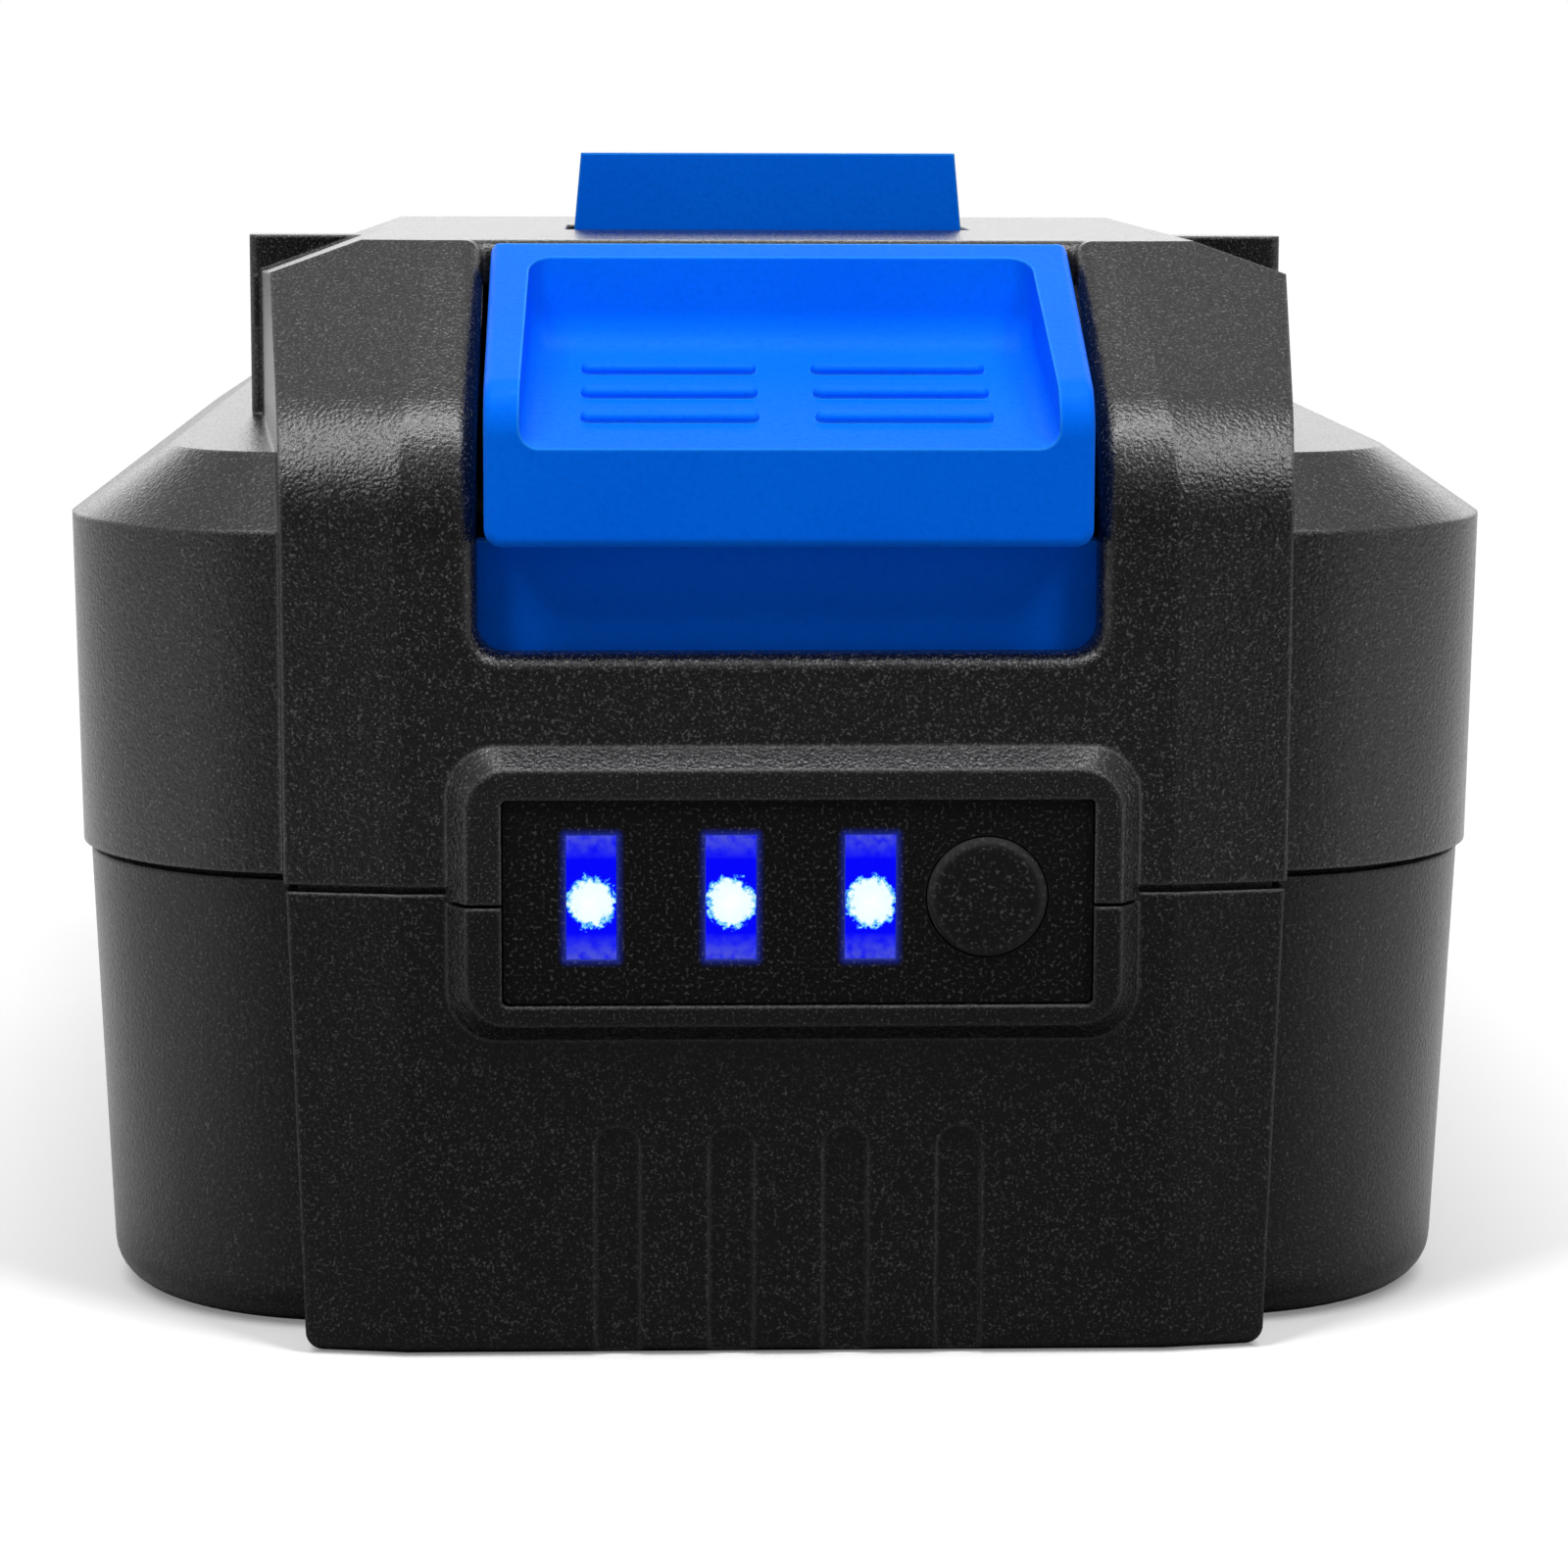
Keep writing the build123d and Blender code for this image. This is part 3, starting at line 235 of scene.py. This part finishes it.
def shell_finish(name, colour, dust_and_glint, depth_mm, roughness, specular):
    """Black moulded housing plastic with its eroded grain, flecked with dust and painted glints,
    and paler along its edges from wear and a painted highlight.
    """
    grain_mm = 0.2
    fine_grain, fleck_grain = 0.8, 0.75
    brighter, edge_wear_and_sheen = 1.35, 0.9
    uneven = 0.06
    f = Finish(name, colour, roughness, specular=specular)
    edge = f.soften(radius_mm=0.32)
    fine = f.noise(grain_mm * fine_grain, detail=2, rough=0.6)
    toned = f.drift(shade(colour), shade(colour, brighter), size_mm=9, detail=3)
    # Pale flecks: dust specks and painted glints of the grain.
    dust_and_glint_specked = f.cover(toned, dust_and_glint, f.flecks(grain_mm * fleck_grain), share=0.75)
    edge_wear_and_sheen_share = f.spread(fine, low=0.35, high=0.6, to_low=0.25, to_high=0.9)
    # Paler along sharp edges: wear and a painted highlight line.
    f.link(f.cover(dust_and_glint_specked, [c * edge_wear_and_sheen for c in dust_and_glint], edge, edge_wear_and_sheen_share), "Base Color")
    f.roughen(fine, roughness - uneven, roughness + uneven)
    f.bump(f.maths("ADD", f.cells(grain_mm), fine), depth_mm)
    return f


def latch_finish():
    """Blue moulded plastic of the release latch, paler blue along its edges from wear and a painted
    highlight.
    """
    colour = (0.0006, 0.15, 0.96)
    paler = (0.0008, 0.165, 0.98)
    darker = (0.0006, 0.12, 0.85)
    edge_wear_and_sheen = (0.04, 0.42, 1.0)
    tint = (0.0, 0.45, 1.0)
    f = Finish("latch_blue", colour, roughness=0.4, specular=0.12)
    f.shader.inputs["Specular Tint"].default_value = shade(tint)
    edge = f.soften(radius_mm=0.22)
    fine = f.noise(size_mm=0.3, detail=3, rough=0.6)
    toned = f.drift(shade(colour), shade(paler), size_mm=14, detail=2)
    specks = f.spread(fine, low=0.5, high=0.75, to_high=0.5)
    speckled = f.mix(specks, toned, shade(darker))
    # Pale blue along edges: a painted highlight, with some wear.
    f.link(f.cover(speckled, edge_wear_and_sheen, edge, share=0.9), "Base Color")
    f.roughen(fine, low=0.36, high=0.52)
    f.bump(fine, depth_mm=0.02)
    return f


# Gauge

def window_place(f):
    """Place across and up the nearest gauge window, in window half widths and heights."""
    low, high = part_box("gauge_windows")
    half_pitch = WINDOW_PITCH / 2
    first = low.x + WINDOW_HALF
    shifted = f.maths("ADD", f.axis(f.place, "X"), half_pitch - first)
    across = f.maths("SUBTRACT", f.maths("FLOORED_MODULO", shifted, WINDOW_PITCH), half_pitch)
    across = f.maths("DIVIDE", across, WINDOW_HALF)
    middle = (low.z + high.z) / 2
    up = f.maths("SUBTRACT", f.axis(f.place, "Z"), middle)
    up = f.maths("DIVIDE", up, (high.z - low.z) / 2)
    return across, up


def window_finish():
    """Lit light pipes: saturated blue with a white hot spot where the lamp stands behind."""
    spot_drop, ends_lift = 0.08, 0.02
    squeeze_across, squeeze_up = 0.92, 2.15
    ragged_edge = 0.22
    spot_stops = [
        (0.0, (1.0, 1.0, 1.0)),
        (0.72, (0.85, 1.0, 1.0)),
        (0.84, (0.12, 0.62, 0.9)),
        (0.93, (0.0, 0.0, 1.0)),
        (1.0, (0.0, 0.0, 0.95)),
    ]
    deep, pale = (0.01, 0.015, 0.78), (0.08, 0.1, 0.62)
    f = Finish("gauge_light", (0.0, 0.0, 0.02), roughness=0.35, specular=0.1)
    across, up = window_place(f)
    reach = f.length(
        f.maths("MULTIPLY", across, squeeze_across),
        f.maths("MULTIPLY", f.maths("ADD", up, spot_drop), squeeze_up),
    )
    ragged = f.noise(size_mm=0.35, detail=4, rough=0.7)
    reach = f.maths("ADD", reach, f.spread(ragged, *NOISE_RANGE, -ragged_edge, ragged_edge))
    spot = f.ramp(reach, spot_stops)
    streak = f.noise(size_mm=0.5, detail=3)
    from_middle = f.maths("ABSOLUTE", f.maths("ADD", up, -ends_lift))
    toward_end = f.spread(from_middle, low=0.6, high=0.95, to_high=0.8)
    end_colour = f.mix(f.spread(streak, low=0.3, high=0.6), shade(deep), shade(pale))
    f.link(f.mix(toward_end, spot, end_colour), "Emission Color")
    f.shader.inputs["Emission Strength"].default_value = 1.0
    f.bump(streak, depth_mm=0.02)
    return f


def window_glow(f):
    """Light that bleeds past the nearest window's rim, from 1 at the rim to 0 further out."""
    glow_reach = 0.4
    past_windows = 1.0 * MM
    low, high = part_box("gauge_windows")
    across, up = window_place(f)
    beyond_x, beyond_z = [
        f.maths("MAXIMUM", f.maths("SUBTRACT", f.maths("ABSOLUTE", place), 1.0), 0.0)
        for place in (across, up)
    ]
    height_in_widths = (high.z - low.z) / 2 / WINDOW_HALF
    distance = f.length(beyond_x, f.maths("MULTIPLY", beyond_z, height_in_widths))
    glow = f.maths("POWER", f.spread(distance, 0.0, glow_reach, 1.0, 0.0), 2.0)
    beside = f.maths("LESS_THAN", f.axis(f.place, "X"), high.x + past_windows)
    return f.maths("MULTIPLY", glow, beside)


def panel_finish(name, edge_mm, specular):
    """Near black moulding of the gauge, flecked with dust and painted glints, paler along its edges
    from wear and a painted highlight, with a little blue light bleeding round each window.
    """
    colour = (0.003, 0.0029, 0.003)
    dust_and_glint = (0.1, 0.097, 0.1)
    edge_wear_and_sheen = (0.06, 0.058, 0.06)
    light, glow_strength = (0.02, 0.06, 1.0), 0.3
    f = Finish(name, colour, roughness=0.45, specular=specular)
    edge = f.soften(edge_mm)
    fine = f.noise(size_mm=0.2, detail=3, rough=0.7)
    # Pale flecks: dust specks and painted glints.
    speckled = f.cover(shade(colour), dust_and_glint, f.flecks(size_mm=0.2), share=0.7)
    # Paler along edges: wear and a painted highlight.
    f.link(f.cover(speckled, edge_wear_and_sheen, edge, share=0.8), "Base Color")
    f.roughen(fine, low=0.4, high=0.6)
    f.bump(fine, depth_mm=0.03)
    f.link(f.maths("MULTIPLY", window_glow(f), glow_strength), "Emission Strength")
    f.shader.inputs["Emission Color"].default_value = shade(light)
    return f


# Inner pieces

def metal_finish(name, colour, roughness, streak=None):
    """Metal with slight tarnish and fine marks, which a streak draws out along one axis."""
    tarnish = 0.72
    polished, dulled = 0.08, 0.12
    f = Finish(name, colour, roughness, metallic=1.0)
    place = f.place
    if streak:
        place = f.add("ShaderNodeMapping", Vector=place, Scale=streak).outputs["Vector"]
    marks = f.noise(size_mm=0.3, detail=4, rough=0.6, place=place)
    f.soften(radius_mm=0.1)
    f.link(f.drift(shade(colour), shade(colour, tarnish), size_mm=3, detail=3), "Base Color")
    f.roughen(marks, roughness - polished, roughness + dulled)
    f.bump(marks, depth_mm=0.006)
    return f


def plastic_finish(name, colour, roughness, grain_mm=0.4, depth_mm=0.01, specular=0.4):
    """Plain moulded or wrapped plastic with a faint grain and tone, paler along its edges from wear
    and a painted highlight.
    """
    darker = 0.8
    paler, least = 1.6, 0.01
    polished, dulled = 0.05, 0.08
    edge_wear_and_sheen = [min(1, c * paler + least) for c in colour]
    f = Finish(name, colour, roughness, specular=specular)
    fine = f.noise(grain_mm, detail=3, rough=0.6)
    edge = f.soften(radius_mm=0.12)
    toned = f.drift(shade(colour), shade(colour, darker), size_mm=6, detail=2)
    # Paler along edges: wear and a painted highlight.
    f.link(f.cover(toned, edge_wear_and_sheen, edge, share=0.35), "Base Color")
    f.roughen(fine, roughness - polished, roughness + dulled)
    f.bump(fine, depth_mm)
    return f


def board_finish():
    """Green solder mask with raised copper tracks."""
    mask, track = (0.01, 0.1, 0.035), (0.03, 0.2, 0.07)
    track_pitch_mm, gap_share = 8, 0.03
    f = Finish("board_green", mask, roughness=0.3)
    tracks = f.add(
        "ShaderNodeTexBrick",
        Vector=f.place,
        Scale=METRE_IN_MM / track_pitch_mm,
        Mortar_Size=gap_share,
    ).outputs["Fac"]
    f.link(f.mix(tracks, shade(mask), shade(track)), "Base Color")
    f.roughen(f.noise(size_mm=0.3, detail=2), low=0.24, high=0.4)
    f.bump(tracks, depth_mm=0.03)
    return f


def wire_finish():
    """Insulation of the gauge wires, one colour per wire from its place across."""
    red, black = (0.4, 0.02, 0.02), (0.02, 0.02, 0.02)
    yellow, white = (0.5, 0.42, 0.03), (0.7, 0.7, 0.68)
    f = Finish("wire_sleeve", red, roughness=0.4)
    low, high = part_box("gauge_wires")
    share = f.spread(f.axis(f.place, "X"), low.x, high.x)
    stops = [(0.0, red), (0.25, black), (0.5, yellow), (0.75, white)]
    f.link(f.ramp(share, stops, "CONSTANT"), "Base Color")
    f.bump(f.noise(size_mm=0.3), depth_mm=0.01)
    return f


# Every node's finish

def dress_outside():
    """Finishes of the housing, the latch and the gauge."""
    # The fleck colours below paint dust specks and glints of the grain, a painted highlight.
    upper = shell_finish(
        "shell_upper",
        colour=(0.0021, 0.0018, 0.0019),
        dust_and_glint=(0.14, 0.135, 0.137),
        depth_mm=0.026,
        roughness=0.25,
        specular=0.52,
    )
    upper.give("upper_housing")
    lower = shell_finish(
        "shell_lower",
        colour=(0.0014, 0.0012, 0.0013),
        dust_and_glint=(0.095, 0.092, 0.093),
        depth_mm=0.024,
        roughness=0.29,
        specular=0.36,
    )
    lower.give("lower_housing")
    latch_finish().give("release_latch")
    panel_finish("panel_black", edge_mm=0.12, specular=0.14).give("gauge_panel")
    # The wide edge rounds the key's shading and paints a broad paler rim, a painted highlight.
    panel_finish("key_black", edge_mm=0.8, specular=0.22).give("gauge_button")
    window_finish().give("gauge_windows")


def dress_plastics():
    """Finishes of the switch, the cells with their holders, and the fittings of the boards."""
    cell_count = 10
    switch = plastic_finish("switch_plastic", (0.02, 0.02, 0.02), roughness=0.45)
    switch.give("tact_switch", "tact_plunger")
    nylon = plastic_finish(
        "carrier_nylon", (0.05, 0.05, 0.055), roughness=0.5, grain_mm=0.5, depth_mm=0.02
    )
    nylon.give("cell_carrier_left", "cell_carrier_right", "board_tray")
    paper = plastic_finish(
        "fibre_paper",
        (0.62, 0.6, 0.5),
        roughness=0.8,
        grain_mm=0.25,
        depth_mm=0.03,
        specular=0.2,
    )
    paper.give("insulator_left", "insulator_right")
    card = plastic_finish(
        "ring_card",
        (0.75, 0.74, 0.7),
        roughness=0.75,
        grain_mm=0.25,
        depth_mm=0.02,
        specular=0.2,
    )
    card.give("cell_rings")
    epoxy = plastic_finish("chip_epoxy", (0.015, 0.015, 0.016), roughness=0.45, grain_mm=0.2)
    epoxy.give("board_components")
    cream = plastic_finish("connector_cream", (0.72, 0.66, 0.5), roughness=0.45)
    cream.give("data_connector")
    lamp = plastic_finish("lamp_body", (0.75, 0.78, 0.85), roughness=0.3)
    lamp.give("gauge_lamps")
    sleeve = plastic_finish(
        "cell_sleeve",
        (0.02, 0.2, 0.28),
        roughness=0.28,
        grain_mm=1.5,
        depth_mm=0.02,
        specular=0.5,
    )
    sleeve.give(*[f"cell_{number:02d}" for number in range(1, cell_count + 1)])
    board_finish().give("main_board", "gauge_board")
    wire_finish().give("gauge_wires")


def dress_metals():
    """Finishes of the strips, terminals, contacts, springs and screws."""
    strip_count = 6
    along_y, along_z = (1, 0.1, 1), (1, 1, 0.1)
    plate = metal_finish("nickel_plate", (0.66, 0.64, 0.6), roughness=0.3)
    plate.give("cell_caps")
    nickel = metal_finish("nickel_strip", (0.66, 0.65, 0.62), roughness=0.3, streak=along_y)
    nickel.give(*[f"nickel_strip_{number}" for number in range(1, strip_count + 1)])
    nickel.give("positive_strap", "negative_strap")
    tinned = metal_finish("tinned_copper", (0.7, 0.68, 0.64), roughness=0.25, streak=along_y)
    tinned.give("positive_terminal", "negative_terminal")
    gold = metal_finish("gold_contact", (0.8, 0.6, 0.25), roughness=0.25)
    gold.give("data_contacts")
    spring = metal_finish("spring_wire", (0.5, 0.5, 0.51), roughness=0.28, streak=along_z)
    spring.give("latch_spring_left", "latch_spring_right")
    screw = metal_finish("screw_black", (0.07, 0.07, 0.072), roughness=0.35)
    screw.give("case_screws", "board_screws")


# Studio, in metres

def floor_material():
    """White paper, pure white further out; the stretch before the pack throws little light back."""
    paper, lift = 0.82, 0.2
    dim, bright = 0.22, 0.9
    front_cosine, side_cosine = -0.94, -0.6
    near_reach, far_reach = 0.09, 0.22
    f = Finish("floor_white", (paper, paper, paper), roughness=0.9, specular=0.0)
    seen = f.seen(f.add("ShaderNodeLightPath").outputs)
    reach = f.add("ShaderNodeVectorMath", {"operation": "LENGTH"}, i0=f.place).outputs["Value"]
    cosine = f.maths("DIVIDE", f.axis(f.place, "Y"), reach)
    bounce = f.mix(f.spread(cosine, front_cosine, side_cosine), grey(dim), grey(bright))
    f.link(f.mix(seen, bounce, grey(paper)), "Base Color")
    glow = f.add("ShaderNodeEmission", Color=grey(1), Strength=f.maths("MULTIPLY", seen, lift))
    white = f.add("ShaderNodeEmission", Color=grey(1), Strength=1.0).outputs["Emission"]
    near = f.add("ShaderNodeAddShader", i0=f.shader.outputs["BSDF"], i1=glow.outputs["Emission"])
    away = f.maths("MULTIPLY", f.spread(reach, near_reach, far_reach), seen)
    surface = f.add("ShaderNodeMixShader", i0=away, i1=near.outputs["Shader"], i2=white)
    f.tree.links.new(surface.outputs[0], f.tree.nodes["Material Output"].inputs["Surface"])
    return f.material


def lay_floor():
    """Plain square floor under the pack."""
    half = 4.0
    corners = ((-half, -half), (half, -half), (half, half), (-half, half))
    mesh = bpy.data.meshes.new("floor")
    work = bmesh.new()
    work.faces.new([work.verts.new((x, y, 0)) for x, y in corners])
    work.to_mesh(mesh)
    work.free()
    floor = bpy.data.objects.new("floor", mesh)
    bpy.context.scene.collection.objects.link(floor)
    mesh.materials.append(floor_material())


def light_surroundings():
    """White to the camera, dim as a light, and pale in reflections but darker in front."""
    dim, pale = 0.15, 0.75
    front_cosine, side_cosine = -1.0, -0.35
    world = bpy.data.worlds.new("studio")
    bpy.context.scene.world = world
    world.use_nodes = True
    kit = NodeKit(world.node_tree)
    path = kit.add("ShaderNodeLightPath").outputs
    cosine = kit.axis(kit.add("ShaderNodeTexCoord").outputs["Generated"], "Y")
    reflected = kit.spread(cosine, front_cosine, side_cosine, dim, pale, "SMOOTHSTEP")
    lit = kit.add("ShaderNodeMix", i0=path["Is Glossy Ray"], i2=dim, i3=reflected).outputs[0]
    background = kit.tree.nodes["Background"]
    background.inputs["Color"].default_value = grey(1)
    kit.tree.links.new(kit.maths("MAXIMUM", kit.seen(path), lit), background.inputs["Strength"])


def hang_lamp(name, place, width, height, radiance):
    """Soft rectangular lamp, aimed at the pack and not seen itself."""
    target = Vector((0, 0, 0.03))
    lamp = bpy.data.lights.new(name, "AREA")
    lamp.shape = "RECTANGLE"
    lamp.size = width
    lamp.size_y = height
    lamp.energy = radiance * math.pi * width * height
    holder = bpy.data.objects.new(name, lamp)
    holder.location = place
    holder.rotation_mode = "QUATERNION"
    holder.rotation_quaternion = (target - Vector(place)).to_track_quat("-Z", "Y")
    holder.visible_camera = False
    bpy.context.scene.collection.objects.link(holder)


def hang_lamps():
    """Two long softboxes above the front corners and a wide one behind."""
    for name, x in (("softbox_left", -0.27), ("softbox_right", 0.27)):
        hang_lamp(name, (x, -0.3, 0.84), width=0.17, height=0.92, radiance=11.0)
    hang_lamp("softbox_back", (0, 1.0, 0.42), width=1.6, height=0.5, radiance=1.6)


set_camera()
dress_outside()
dress_plastics()
dress_metals()
lay_floor()
light_surroundings()
hang_lamps()
bpy.context.scene.view_settings.view_transform = "Standard"
